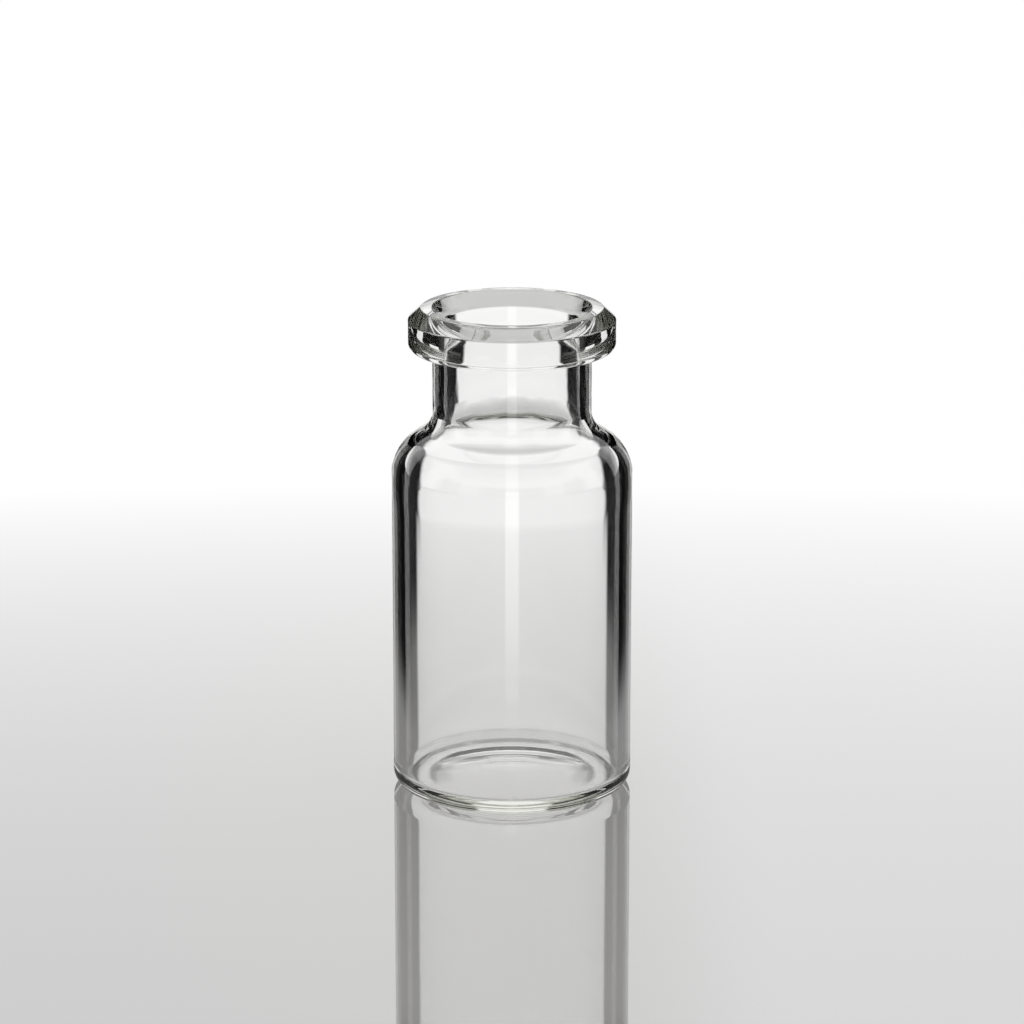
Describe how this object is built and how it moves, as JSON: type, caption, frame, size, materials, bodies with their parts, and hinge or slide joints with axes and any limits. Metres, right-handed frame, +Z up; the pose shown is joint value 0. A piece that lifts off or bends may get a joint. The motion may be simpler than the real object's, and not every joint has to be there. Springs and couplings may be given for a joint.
{
  "type": "glass sample vial",
  "caption": "Clear cylindrical glass vial with a sloping shoulder, a narrow neck and a thick bevelled flange for a crimp cap.",
  "frame": {"origin": "centre of the base, in the plane that the vial stands on", "axes": "+Z up along the vial's axis, out of its mouth; X and Y are equal, because the vial is round"},
  "size_m": [0.0226, 0.0226, 0.046],
  "materials": {
    "glass": "clear, colourless, fire-polished borosilicate glass"
  },
  "bodies": {
    "root": {"vial": "glass"}
  },
  "joints": []
}
